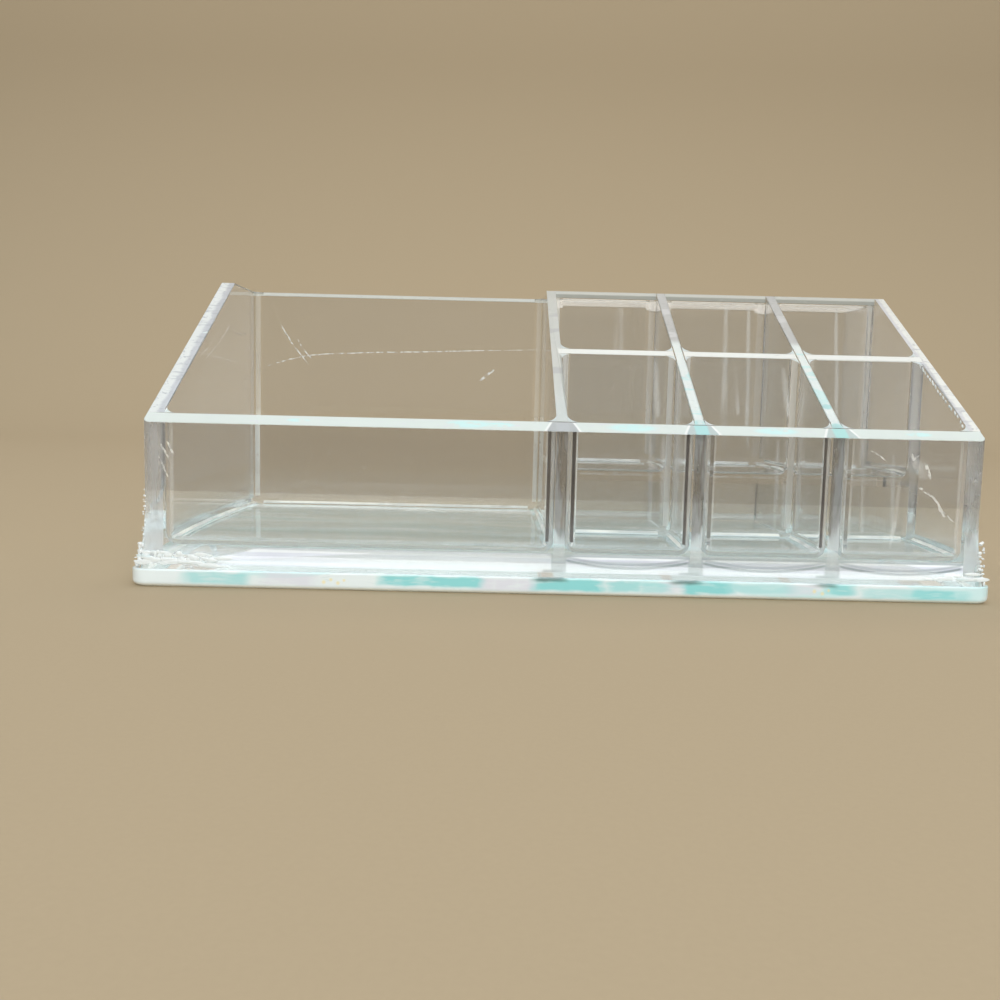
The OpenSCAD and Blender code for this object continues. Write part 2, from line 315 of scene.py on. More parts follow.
def make_group(build, **defaults):
    """Makes a shader node group, named after the function that builds it from a place and these inputs."""
    tree = bpy.data.node_groups.new(build.__name__, "ShaderNodeTree")
    kinds = {tuple: "NodeSocketColor", float: "NodeSocketFloat"}
    tree.interface.new_socket(name="place", in_out="INPUT", socket_type="NodeSocketVector")
    for name, default in defaults.items():
        socket = tree.interface.new_socket(name=name, in_out="INPUT", socket_type=kinds[type(default)])
        socket.default_value = default
    gin = tree.nodes.new("NodeGroupInput")
    results = build(**{name: Value(tree, gin.outputs[name]) for name in ("place", *defaults)})
    kinds = {"RGBA": "NodeSocketColor", "VALUE": "NodeSocketFloat", "VECTOR": "NodeSocketVector"}
    for name, value in results.items():
        tree.interface.new_socket(name=name, in_out="OUTPUT", socket_type=kinds[value.socket.type])
    gout = tree.nodes.new("NodeGroupOutput")
    for name, value in results.items():
        tree.links.new(value.socket, gout.inputs[name])


def use_group(name, place, **inputs):
    """Puts a node group in a material and gives its first output."""
    return add(place.tree, "ShaderNodeGroup", {"place": place, **inputs},
               node_tree=bpy.data.node_groups[name])


def handling_marks(place):
    """Smudges, fine scratches and dust of a sheet that has been used."""
    streak = noise(stretched(place, (26.0, 1.0, 26.0), (0.5, 0.62, 0.9)), 26.0, 1.0, 0.4, 0.15)
    cells = add(place.tree, "ShaderNodeTexVoronoi", {"Vector": place, "Scale": 620.0}, "Distance")
    split = add(place.tree, "ShaderNodeSeparateColor", {0: cells.beside("Color")})
    return {"Smudges": noise(place, 45.0, 4.0, 0.6, 0.8).ramp(0.48, 0.72),
            "Scratches": streak.ramp(0.70, 0.76),
            "Dust": (cells < 0.16) * (split > 0.93)}


def edge_patches(place, white, teal, grey, length, teal_share, grey_share):
    """The white, grey and teal patches that light makes along a sheet's edge, painted into its colour: white
    is painted light, teal painted reflection and grey painted shade.
    """
    drawn = stretched(place, (1.0, 1.0, 5.0))
    teal_cloud = noise(drawn, length, 3.0, 0.55, 0.6)
    grey_cloud = noise(vector("ADD", drawn, (3.1, 7.7, 1.9)), length * 7.0, 3.0, 0.6, 1.2)
    teal_mask = (teal_cloud - (0.72 - teal_share * 0.3)).ramp(0.0, 0.06)
    grey_mask = (grey_cloud - (0.74 - grey_share * 0.3)).ramp(0.0, 0.08)
    return {"Color": blend(teal_mask, blend(grey_mask, white, grey), teal)}


def sheet_waves(place, scale, strength):
    """The slight waves of a sheet, as a normal."""
    return {"Normal": add(place.tree, "ShaderNodeBump", {"Height": noise(place, scale, 2.0, 0.45),
                                                         "Strength": strength, "Distance": 0.0004})}


def patched(place, white, teal, grey, length, teal_share, grey_share):
    """The colour of a bright edge, which is painted light: white, with patches of teal and of grey, and their
    scale and shares.
    """
    return use_group("edge_patches", place, white=white, teal=teal, grey=grey, length=length,
                     teal_share=teal_share, grey_share=grey_share)


def spot_mask(place, spots, stretch, soft=0.5):
    """1 inside round or drawn-out spots given as (x, y, z, radius) in millimetres, 0 outside them."""
    masks = []
    for x, y, z, radius in spots:
        off = vector("MULTIPLY", vector("SUBTRACT", place, (x * MM, y * MM, z * MM)), stretch)
        masks.append(1.0 - vector("LENGTH", off, out="Value").ramp(radius * MM * soft, radius * MM))
    return reduce(Value.most, masks)


def worn_spots(place, colour, spots, stretch, spot_colour, share=1.0):
    """Lays painted spots of a colour over another, broken up by noise."""
    # worn is only a noise that breaks the painted spots up, not wear
    worn = noise(place, 320.0).ramp(0.28, 0.50) * share
    return blend(spot_mask(place, spots, stretch) * worn, colour, spot_colour)


def bars(place, table, worn):
    """1 inside bars that lie along the base plate's front edge, broken up a little by the mask that is given
    to it. The bars are painted reflection and painted shade.
    """
    x, y, z = (place.axis(name) for name in "XYZ")
    front = y < (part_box("front_wall")[0].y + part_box("base_plate")[0].y) / 2
    off = noise(place, 150.0) - 0.5
    x, z = x + off * (6 * MM), z + off * (1.6 * MM)
    masks = [x.window(left, right, 4.5) * z.window(low, high, 1.1) * strength
             for left, right, low, high, strength in table]
    return reduce(Value.most, masks) * front * worn


def streaks(place, drawn, scale=40.0):
    """Two drawn-out noises: how dense a streaky joint is, and which of its two colours shows."""
    long = stretched(place, drawn)
    second = noise(vector("ADD", long, (5.2, 1.3, 8.8)), scale * 1.5, 3.0)
    return noise(long, scale, 4.0, 0.6, 0.7).ramp(0.38, 0.62), second.ramp(0.42, 0.60)


# ---------------------------------------------------------------- materials

class Finish:
    """A material in the making: the piece's own coordinates, and the shaders that it may end in."""

    def __init__(self, name):
        material = bpy.data.materials.new(name)
        material.use_nodes = True
        self.tree = material.node_tree
        self.tree.nodes.clear()
        self.end = self.tree.nodes.new("ShaderNodeOutputMaterial").inputs["Surface"]
        self.place = add(self.tree, "ShaderNodeTexCoord", out="Object")

    def close(self, shader):
        self.tree.links.new(shader.socket, self.end)

    def mix(self, fac, a, b):
        self.close(add(self.tree, "ShaderNodeMixShader", {0: fac, 1: a, 2: b}))

    def waves(self, strength, scale=18.0):
        return use_group("sheet_waves", self.place, strength=strength, scale=scale)

    def glass(self, inputs, through=1.0):
        """Clear or milky sheet. A share of the lamps' light passes through, so it casts no dark shadow."""
        body = add(self.tree, "ShaderNodeBsdfPrincipled", {"IOR": ACRYLIC_IOR, **inputs})
        clear = add(self.tree, "ShaderNodeBsdfTransparent", {"Color": (0.91, 0.93, 0.93)})
        self.mix(add(self.tree, "ShaderNodeLightPath", out="Is Shadow Ray") * through, body, clear)

    def edge(self, colour, clear, rough=0.34, shine=0.08):
        """A bright edge: light that runs inside the sheet comes out here. On the sheet's edges its pale
        colour is painted light that stands in for it.
        """
        smudged = use_group("handling_marks", self.place) * 0.18 + rough
        self.glass({"Base Color": colour, "Roughness": smudged, "Transmission Weight": clear,
                    "Specular IOR Level": 0.3, "Coat Weight": shine, "Coat Roughness": 0.15,
                    "Normal": self.waves(0.35, 160.0)}, 0.7)

    def veil(self, colour, dense, rough=0.5):
        """A dull colour over a clear face, as dense as the mask says."""
        body = add(self.tree, "ShaderNodeBsdfPrincipled", {"Base Color": colour, "Roughness": rough})
        self.mix(dense, add(self.tree, "ShaderNodeBsdfTransparent"), body)


def clear_material(name, tint, clear, smudge=0.05, scratch=0.16, waves=0.12, ior=ACRYLIC_IOR,
                   painted_upper_tint=None):
    """Acrylic or cement with smudges, fine scratches, dust and slight waves. clear below 1 is milky.
    The upper tint is a darker tint that it has higher up, a painted reflection of the dark of the room."""
    finish = Finish(name)
    marks = use_group("handling_marks", finish.place)
    rough = marks * smudge + marks.beside("Scratches") * scratch + 0.01
    # painted reflection: darker from 17 to 27 mm up
    if painted_upper_tint:
        tint = blend(finish.place.axis("Z").ramp(17 * MM, 27 * MM), tint, painted_upper_tint)
    colour = blend(marks.beside("Dust") * 0.8, tint, (0.62, 0.60, 0.56))
    finish.glass({"Base Color": colour, "Roughness": rough, "IOR": ior, "Transmission Weight": clear,
                  "Normal": finish.waves(waves)})


def edge_material(name, clear, *patches, rough=0.34, shine=0.08):
    """A plain bright edge."""
    finish = Finish(name)
    finish.edge(patched(finish.place, *patches), clear, rough, shine)


def front_rim_material(white, teal):
    """The front wall's top edge, painted light: white with teal patches of painted reflection, a darker mouth
    of painted shade where each divider meets it, and a painted highlight along each mouth's lip.
    """
    finish = Finish("Front rim")
    place = finish.place
    colour = patched(place, white, teal, (0.66, 0.70, 0.72), 34.0, 0.1, 0.45)
    colour = worn_spots(place, colour, RIM_TEAL, (0.3, 1.0, 1.0), (0.55, 0.83, 0.83), 0.85)
    half = 4.9 * MM - (place.axis("Y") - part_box("front_wall")[0].y) * 0.42
    for middle, heart, side in MOUTHS:
        off = abs(place.axis("X") - middle * MM)
        depth = half - off
        inner = blend(1.0 - off.ramp(1.5 * MM, 2.3 * MM), side, heart)
        # the lip is a painted highlight round each mouth
        lip = 1.0 - abs(depth).ramp(0.15 * MM, 0.55 * MM)
        colour = blend(depth.ramp(0.0, 0.4 * MM), colour, inner)
        colour = blend(lip * 0.75, colour, (0.92, 0.94, 0.93))
    finish.edge(colour, 0.15)


def side_rim_material(name, inner_x, outer_x, outer_colour, inner_colour, grey):
    """A side wall's top edge, painted light and shade: a painted highlight along the outside, lavender grey
    painted shade along the inside, mottled across.
    """
    finish = Finish(name)
    place = finish.place
    share = (place.axis("X") - inner_x * MM) / ((outer_x - inner_x) * MM) + noise(place, 260.0) * 0.5
    bright = patched(place, outer_colour, (0.78, 0.88, 0.86), grey, 70.0, 0.2, 0.5)
    soft = patched(place, inner_colour, (0.68, 0.78, 0.78), grey, 70.0, 0.2, 0.6)
    streak = noise(stretched(place, (1.0, 5.0, 1.0), (0.0, 0.0, 0.7)), 95.0, 3.0, 0.5, 0.8)
    colour = blend(share.ramp(0.52, 0.80), soft, bright)
    finish.edge(blend(streak.ramp(0.55, 0.66) * 0.75, colour, grey), 0.15)


def ledge_nose_material():
    """The ledge's front edge: a bright upper line of painted highlight over a grey band of painted shade."""
    finish = Finish("Ledge nose")
    colour = patched(finish.place, (0.42, 0.44, 0.41), (0.36, 0.38, 0.36), (0.56, 0.58, 0.55), 60.0, 0.4, 0.4)
    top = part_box("top_ledge")[1].z
    line = finish.place.axis("Z").ramp(top - 1.3 * MM, top - 0.8 * MM)
    finish.edge(blend(line, colour, (0.76, 0.79, 0.76)), 0.3)


def column_rim_material(teal):
    """A column divider's top edge: painted highlight and teal painted reflection in front of the row divider,
    grey and glassy painted shade behind it.
    """
    finish = Finish("Column rim")
    place = finish.place
    near = patched(place, (0.80, 0.88, 0.87), (0.60, 0.84, 0.84), (0.62, 0.70, 0.71), 60.0, 0.6, 0.45)
    near = worn_spots(place, near, COLUMN_TEAL, (1, 1, 1), teal)
    far = patched(place, (0.50, 0.51, 0.51), (0.62, 0.63, 0.64), (0.42, 0.43, 0.42), 60.0, 0.5, 0.6)
    finish.edge(blend(place.axis("Y").ramp(-11 * MM, -7 * MM), near, far), 0.35)


def base_edge_material():
    """The base plate's edge, painted light and shade: a white glow with teal and lilac bars of painted
    reflection along it, dark bars of painted shade, a cream lower line of painted highlight and yellow specks
    of painted glints.
    """
    finish = Finish("Base edge")
    place = finish.place
    colour = patched(place, (0.87, 0.97, 0.99), (0.68, 0.93, 0.95), (0.76, 0.88, 0.91), 22.0, 0.55, 0.4)
    # worn here is a noise that breaks up the painted bars, not wear
    worn = noise(stretched(place, (0.22, 0.22, 1.0)), 700.0).ramp(0.30, 0.52) * 0.45 + 0.55
    for table, breakup, bar_colour in ((BASE_LILAC_BARS, worn, (0.78, 0.80, 0.90)),
                                       (BASE_TEAL_BARS, worn, (0.30, 0.76, 0.78)),
                                       (BASE_DARK_BARS, 1.0, (0.10, 0.18, 0.17))):
        colour = blend(bars(place, table, breakup), colour, bar_colour)
    # yellow specks: painted glints
    yellow = spot_mask(place, BASE_YELLOW, (1.0, 1.0, 1.0), 0.2)
    colour = blend(yellow * 0.8, colour, (0.95, 0.86, 0.50))
    # a painted highlight along the lower edge
    painted_low_highlight = 1.0 - place.axis("Z").ramp(0.6 * MM, 1.2 * MM)
    colour = blend(painted_low_highlight * 0.7, colour, (0.90, 0.93, 0.86))
    finish.glass({"Base Color": colour, "Roughness": 0.2, "Transmission Weight": 0.06, "Coat Weight": 0.5,
                  "Coat Roughness": 0.06, "Normal": finish.waves(0.3, 130.0)}, 0.4)


def streaky_joint(name, white, grey, drawn, low, high, fade=None):
    """A cemented face that still shows as a veil of streaks, thin where low and dense where high. Where each
    is made says which streaks are painted shade and which painted light.
    fade is (z, z, share): between these heights it thins to a share."""
    finish = Finish(name)
    cloud, tone = streaks(finish.place, drawn)
    dense = cloud * (high - low) + low
    if fade:
        start, end, share = fade
        dense = dense * (1.0 - finish.place.axis("Z").ramp(start * MM, end * MM) * (1.0 - share))
    finish.veil(blend(tone, white, grey), dense)


def end_joint(name, low_part, high_part, turn, low_dense, high_dense):
    """A divider's cemented front end: one colour below the turn (millimetres up) and another above it,
    painted light below and painted shade above.
    """
    finish = Finish(name)
    cloud, tone = streaks(finish.place, (4.0, 4.0, 0.5), 70.0)
    above = (finish.place.axis("Z") + cloud * (5 * MM)).ramp((turn - 1.0) * MM, (turn + 4.0) * MM)
    dull = blend(tone * 0.45, blend(above, low_part, high_part), [c * 0.62 for c in low_part])
    finish.veil(dull, (above * (high_dense - low_dense) + low_dense) * (tone * 0.3 + 0.8))


def floor_front_joint():
    """The floor's front end: bright white and lilac, the joint's own frosting and painted light, with painted
    highlight lines and with grey arcs, columns and marks of painted shade at the dividers.
    """
    finish = Finish("Floor front joint")
    cloud, tone = streaks(finish.place, (0.16, 1.0, 2.4))
    x, z = finish.place.axis("X"), finish.place.axis("Z")
    colour = blend(tone, (0.88, 0.91, 0.94), (0.70, 0.70, 0.80))
    # two painted highlight lines along the band
    colour = blend(z.near(9.7, 0.7).most(z.near(5.9, 0.6)) * 0.8, colour, (0.97, 0.98, 0.98))
    # a dark line of painted shade along its top
    line = z.near(10.2, 0.55) * (x.ramp(-5 * MM, -2 * MM) * 0.80 + 0.15)
    colour = blend(line, colour, (0.30, 0.35, 0.36))
    # at each column, arcs, a post and a mark of painted shade
    for heart in COLUMN_HEARTS:
        share = (x - heart * MM) / (COLUMN_PITCH / 2 * MM)
        bow = share * share * (2.6 * MM)
        for height, strength in ((6.7, 1.0), (7.7, 0.6)):
            arc = 1.0 - abs(z - bow - height * MM).ramp(0.15 * MM, 0.65 * MM)
            arc = arc * x.window(heart - 17, heart + 17, 1.5)
            colour = blend(arc * strength, colour, (0.19, 0.23, 0.26))
        divider = heart - COLUMN_PITCH / 2
        post = x.window(divider - 1.9, divider + 1.9, 0.5)
        colour = blend(post * 0.85, colour, (0.32, 0.36, 0.37))
        mark = x.window(divider - 4.2, divider + 0.6, 0.9) * z.window(4.9, 5.6, 0.4)
        colour = blend(mark * 0.85, colour, (0.17, 0.21, 0.21))
    border = (x + 107 * MM) * 0.30 + 5.0 * MM
    body = (border + cloud * (0.8 * MM) - z).ramp(0.0, 0.8 * MM)
    finish.veil(colour, body * 0.72 + 0.24, 0.35)


def scuff_material(name, shape, low, high):
    """A scratch, smear or faint light on the sheet: broken white, from thin (low) to dense (high)."""
    finish = Finish(name)
    cloud = noise(stretched(finish.place, shape), 700.0, 3.0)
    finish.veil((0.86, 0.87, 0.84), cloud.ramp(0.34, 0.60) * (high - low) + low, 0.6)


def floor_material(colour):
    """Plain pale matt floor with a faint grain."""
    finish = Finish("Plain floor")
    shade = blend(noise(finish.place, 900.0), [c * 0.96 for c in colour], colour)
    finish.close(add(finish.tree, "ShaderNodeBsdfPrincipled", {"Base Color": shade, "Roughness": 0.9,
                                                               "Specular IOR Level": 0.1}))


def make_materials():
    """Every material of the organizer, once."""
    if "Clear sheet" in bpy.data.materials:
        return
    make_group(handling_marks)
    make_group(edge_patches, white=(0.9, 0.9, 0.9, 1), teal=(0.4, 0.7, 0.7, 1), grey=(0.5, 0.5, 0.48, 1),
               length=34.0, teal_share=0.5, grey_share=0.4)
    make_group(sheet_waves, scale=18.0, strength=0.1)
    sheet = bpy.context.scene.organizer_sheet
    tint, white, teal = tuple(sheet.tint), tuple(sheet.rim_white), tuple(sheet.rim_teal)
    clear_material("Clear sheet", tint, 0.985)
    # the front wall's sheet, with a painted reflection darkening it higher up
    clear_material("Shady sheet", tint, 0.985, painted_upper_tint=(0.70, 0.705, 0.71))
    clear_material("Hazy sheet", (0.96, 0.96, 0.95), 0.86)
    clear_material("Clear base", tuple(bpy.context.scene.organizer_base.tint), 0.96, smudge=0.08)
    clear_material("Set cement", (0.90, 0.92, 0.92), 0.82, 0.03, 0.0, 0.3)
    clear_material("Thin cement", (0.96, 0.97, 0.97), 0.98, 0.03, 0.0, 0.3, ior=1.12)
    for step, clear in enumerate(FOOT_CLEAR):
        clear_material(f"Foot cement {step + 1}", (0.93, 0.95, 0.95), clear, 0.06, 0.0, 0.5)
    front_rim_material(white, teal)
    side_rim_material("Left rim", -114.7, -119.5, (0.70, 0.74, 0.73), (0.50, 0.53, 0.57),
                      (0.38, 0.41, 0.45))
    side_rim_material("Right rim", 116.3, 119.5, (0.77, 0.78, 0.74), (0.60, 0.61, 0.63),
                      (0.46, 0.47, 0.49))
    ledge_nose_material()
    column_rim_material(teal)
    # the pale colours of these rims and gusset tops are painted light, their teal patches painted reflection
    # and their grey patches painted shade
    edge_material("Back rim", 0.3, (0.78, 0.80, 0.76), teal, (0.60, 0.61, 0.58), 60.0, 0.0, 0.4)
    edge_material("Main divider rim", 0.4, (0.62, 0.66, 0.65), (0.50, 0.53, 0.55), (0.74, 0.78, 0.78),
                  40.0, 0.5, 0.4)
    edge_material("Row rim", 0.15, (0.76, 0.78, 0.75), teal, (0.58, 0.59, 0.58), 60.0, 0.0, 0.35)
    edge_material("Gusset top", 0.35, (0.64, 0.71, 0.72), (0.66, 0.76, 0.78), (0.50, 0.55, 0.56),
                  90.0, 0.5, 0.6)
    edge_material("Bright bead", 0.2, (0.94, 0.97, 0.97), (0.80, 0.90, 0.90), (0.74, 0.78, 0.79),
                  300.0, 0.4, 0.5, rough=0.08, shine=0.5)
    edge_material("Milky smear", 0.25, (0.92, 0.96, 0.96), (0.78, 0.88, 0.89), (0.56, 0.61, 0.62),
                  160.0, 0.4, 0.5, rough=0.25, shine=0.3)
    base_edge_material()
    # cement fills a cemented face, so light goes straight across it
    joint = Finish("Cemented joint")
    joint.close(add(joint.tree, "ShaderNodeBsdfTransparent"))
    floor_front_joint()
    # front ends of the dividers and side walls: painted light below the turn, painted shade above it
    end_joint("Whitish joint", (0.70, 0.74, 0.75), (0.10, 0.09, 0.075), 19.0, 0.66, 0.88)
    end_joint("Corner joint", (0.70, 0.73, 0.75), (0.42, 0.42, 0.42), 20.0, 0.6, 0.45)
    end_joint("Right corner joint", (0.64, 0.67, 0.68), (0.30, 0.295, 0.28), 20.0, 0.6, 0.5)
    # dark streaks of painted shade, full and half, for the dark lines beside the dividers
    streaky_joint("Shaded cement", (0.045, 0.038, 0.034), (0.06, 0.05, 0.045), (1.0, 1.0, 0.2), 0.84, 0.96)
    streaky_joint("Half shaded cement", (0.07, 0.06, 0.055), (0.12, 0.11, 0.10), (1.0, 1.0, 0.2), 0.35, 0.62)
    # teal and white streaks under the floor, painted reflection of the light that the base carries
    streaky_joint("Cloudy joint", (0.72, 0.85, 0.87), (0.47, 0.69, 0.72), (0.22, 1.4, 1.0), 0.40, 0.70)
    # thin grey streaks over the ledge's top
    streaky_joint("Cloudy ledge", (0.52, 0.53, 0.50), (0.44, 0.45, 0.42), (0.2, 1.0, 1.0), 0.16, 0.32)
    # painted light along the rounds of the seams, thinning higher up, and a softer painted light on the
    # upright rounds
    streaky_joint("Bright seam", (0.93, 0.93, 0.86), (0.74, 0.76, 0.74), (1.0, 1.0, 0.3), 0.55, 0.95,
                  fade=(40.0, 50.0, 0.32))
    streaky_joint("Soft seam", (0.86, 0.86, 0.82), (0.66, 0.67, 0.66), (1.6, 1.6, 0.2), 0.18, 0.50)
    scuff_material("White scuff", (1.0, 1.0, 1.0), 0.0, 0.66)
    scuff_material("Faint light", (0.5, 1.0, 0.06), 0.02, 0.105)


def wear(obj, *names):
    """Gives a piece its materials, in the order of its material places."""
    for name in names:
        obj.data.materials.append(bpy.data.materials[name])


# ---------------------------------------------------------------- mesh helpers

def link(name, data):
    """Puts a mesh, a lamp or a camera in the scene, at the origin."""
    obj = bpy.data.objects.new(name, data)
    bpy.context.scene.collection.objects.link(obj)
    return obj


def make_piece(name, bm):
    """Turns a mesh being edited into a piece."""
    mesh = bpy.data.meshes.new(name)
    bm.to_mesh(mesh)
    bm.free()
    return link(name, mesh)


def settle(obj):
    """Applies a piece's modifiers to its mesh."""
    bpy.context.view_layer.update()
    graph = bpy.context.evaluated_depsgraph_get()
    mesh = bpy.data.meshes.new_from_object(obj.evaluated_get(graph))
    obj.modifiers.clear()
    old = obj.data
    obj.data = mesh
    bpy.data.meshes.remove(old)
    return obj


def smooth_all(mesh):
    """Marks every face as smooth."""
    mesh.polygons.foreach_set("use_smooth", [True] * len(mesh.polygons))


def smooth(obj, degrees=35):
    """Smooth faces between the sharp edges, with flat faces kept flat."""
    smooth_all(obj.data)
    obj.data.set_sharp_from_angle(angle=math.radians(degrees))
    weighted = obj.modifiers.new("Flat faces", "WEIGHTED_NORMAL")
    weighted.keep_sharp = True
    weighted.weight = 80
    settle(obj)


def merged_copy(node):
    """A CAD node's mesh with its doubles merged and its flat faces whole."""
    bm = bmesh.new()
    bm.from_mesh(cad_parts[node].data)
    bmesh.ops.remove_doubles(bm, verts=bm.verts, dist=HAIR)
    bmesh.ops.dissolve_limit(bm, angle_limit=0.005, verts=bm.verts, edges=bm.edges)
    return bm


def solid_trees():
    """A search tree and a box for each CAD solid, to tell where faces are cemented."""
    trees = {}
    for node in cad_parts:
        bm = merged_copy(node)
        bmesh.ops.triangulate(bm, faces=bm.faces)
        trees[node] = (BVHTree.FromBMesh(bm), *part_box(node))
        bm.free()
    return trees


def inside(tree, low, high, point):
    """Whether a point is inside a closed solid: a ray from it crosses the surface an odd number of times."""
    if any(point[k] < low[k] or point[k] > high[k] for k in range(3)):
        return False
    way = Vector((0.31, 0.47, 0.83)).normalized()
    start = point.copy()
    most_crossings = 64
    for crossings in range(most_crossings):
        hit = tree.ray_cast(start, way)[0]
        if hit is None:
            return crossings % 2 == 1
        start = hit + way * HAIR
    return False


def seam_reach():
    """How far a seam fillet reaches along a wall from the corner."""
    level = SEAM_R - SEAM_BITE
    for k in range(SEAM_STEPS):
        a, b = (n * math.pi / 2 / SEAM_STEPS for n in (k, k + 1))
        far, near = SEAM_R * math.cos(a), SEAM_R * math.cos(b)
        if near <= level <= far:
            share = (far - level) / (far - near)
            return level - SEAM_R * (math.sin(a) + share * (math.sin(b) - math.sin(a)))
    raise RuntimeError("the fillet never leaves the wall")


def cut_planes():
    """Every level plane at which one piece's face may pass from open to cemented."""
    planes = {0: set(), 1: set(), 2: {round(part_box("back_wall")[1].z - BACK_BAND, 6)}}
    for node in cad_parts:
        low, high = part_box(node)
        for k in range(3):
            planes[k].update((round(low[k], 6), round(high[k], 6)))
    reach = seam_reach()
    for node in SEAMS:
        low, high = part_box(node)
        for k in range(2):
            planes[k].update((round(low[k] + reach, 6), round(high[k] - reach, 6)))
        planes[2].add(round(low[2] + reach, 6))
    return planes


def slice_by(bm, planes):
    """Cuts the faces of a mesh by level planes, apart from those that graze its ends."""
    graze = 2e-5
    for axis, levels in planes.items():
        for level in sorted(levels):
            low = min(v.co[axis] for v in bm.verts)
            high = max(v.co[axis] for v in bm.verts)
            if not low + graze < level < high - graze:
                continue
            place, normal = Vector(), Vector()
            place[axis] = level
            normal[axis] = 1
            bmesh.ops.bisect_plane(bm, geom=bm.verts[:] + bm.edges[:] + bm.faces[:], dist=HAIR,
                                   plane_co=place, plane_no=normal)


def round_open_edges(bm, offset, steps):
    """Rounds the outward edges between two open faces."""
    chosen = [edge for edge in bm.edges
              if len(edge.link_faces) == 2 and max(face.material_index for face in edge.link_faces) < JOINT
              and edge.is_convex and edge.calc_face_angle(0) > math.radians(30)]
    bmesh.ops.bevel(bm, geom=chosen, offset=offset, offset_type="OFFSET", segments=steps, profile=0.5,
                    affect="EDGES", clamp_overlap=True, material=-1)


# ---------------------------------------------------------------- the cut panels

def face_kind(node, face, trees):
    """Whether a face of a panel is open, an edge that shines, or cemented to a neighbour."""
    centre = face.calc_center_median()
    for other, (tree, low, high) in trees.items():
        if other == node:
            continue
        # just inside a neighbour that touches, and just past the clearance of a groove
        for step in (0.03 * MM, 0.14 * MM):
            if inside(tree, low, high, centre + face.normal * step):
                at_front = face.normal.y < -0.9 and centre.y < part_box("front_wall")[1].y + 0.2 * MM
                if at_front and node != "front_wall":
                    return JOINT_END
                under_floor = node == "floor_plate" and other == "base_plate" and face.normal.z < -0.9
                return JOINT_CLOUDY if under_floor else JOINT
    # what looks up from higher than this is a top edge, and what looks up from lower is a floor
    lowest_top = 40 * MM
    top = face.normal.z > 0.5 and centre.z > lowest_top
    if node == "back_wall" and centre.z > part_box("back_wall")[1].z - BACK_BAND:
        return RIM
    if node == "top_ledge":
        return RIM if face.normal.y < -0.5 else (JOINT_CLOUDY if top else CLEAR)
    return RIM if top else CLEAR


def cut_panel(node, trees, planes):
    """One panel of sheet: its CAD shape, told apart into open, shining and cemented faces."""
    bm = merged_copy(node)
    slice_by(bm, planes)
    bm.normal_update()
    for face in bm.faces:
        face.material_index = face_kind(node, face, trees)
    bmesh.ops.dissolve_limit(bm, angle_limit=0.002, verts=bm.verts, edges=bm.edges, delimit={"MATERIAL"})
    sheet = bpy.context.scene.organizer_sheet
    bm.normal_update()
    round_open_edges(bm, sheet.edge_round, sheet.edge_steps)
    return make_piece(node + "_sheet", bm)


# ---------------------------------------------------------------- cement

def box_bm(low, high):
    """A plain box as a mesh."""
    bm = bmesh.new()
    bmesh.ops.create_cube(bm, size=1.0)
    for v in bm.verts:
        v.co = Vector([(low[k] + high[k]) / 2 + v.co[k] * (high[k] - low[k]) for k in range(3)])
    return bm


def slope_plane():
    """A point on the sloping top and its normal, from the places of the front wall and row divider."""
    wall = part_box("front_wall")[1]
    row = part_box("row_divider")[1]
    along = Vector((0, row.y - wall.y, row.z - wall.z)).normalized()
    return Vector((0, wall.y, wall.z)), Vector((0, -along.z, along.y))


def cap(bm, place, normal):
    """Cuts off what is above a plane and closes the cut."""
    cut = bmesh.ops.bisect_plane(bm, geom=bm.verts[:] + bm.edges[:] + bm.faces[:], dist=1e-7,
                                 plane_co=place, plane_no=normal, clear_outer=True)
    rim = [e for e in cut["geom_cut"] if isinstance(e, bmesh.types.BMEdge)]
    if rim:
        bmesh.ops.contextual_create(bm, geom=rim)


def between(value, steep, shallow):
    """Whether a part of a normal leans between two angles, in degrees."""
    return math.cos(math.radians(steep)) < value < math.cos(math.radians(shallow))


def seam_kind(node, centre, normal, low, high):
    """The material place of one face of a compartment's cement."""
    flush = 2e-6
    if normal.dot(slope_plane()[1]) > 0.999 or (normal.z > 0.99 and abs(centre.z - high.z) < flush):
        return RIM
    on_box = any(abs(centre[k] - end[k]) < flush for k in range(3) for end in (low, high))
    if on_box and max(abs(c) for c in normal) > 0.999:
        return JOINT
    # the faces across a rounded corner are told apart by how far they lean, and some are given painted shade
    # and some painted light
    upright = abs(normal.z) < 0.01
    if centre.y < low.y + SEAM_R:
        if "rear" in node:
            return BRIGHT if normal.z > math.cos(math.radians(25)) else THIN
        side = "left" if centre.x < (low.x + high.x) / 2 else "right"
        return DARK_LINES.get(node, {}).get(side, CLEAR) if upright and between(normal.y, 38, 20) else CLEAR
    if upright:
        shine = SOFT if node != "seam_fillet_large" else BRIGHT
        return shine if between(max(abs(normal.x), abs(normal.y)), 58, 27) else THIN
    level = abs(normal.x) < 0.01 or abs(normal.y) < 0.01
    return BRIGHT if level and between(abs(normal.z), 50, 38) else THIN


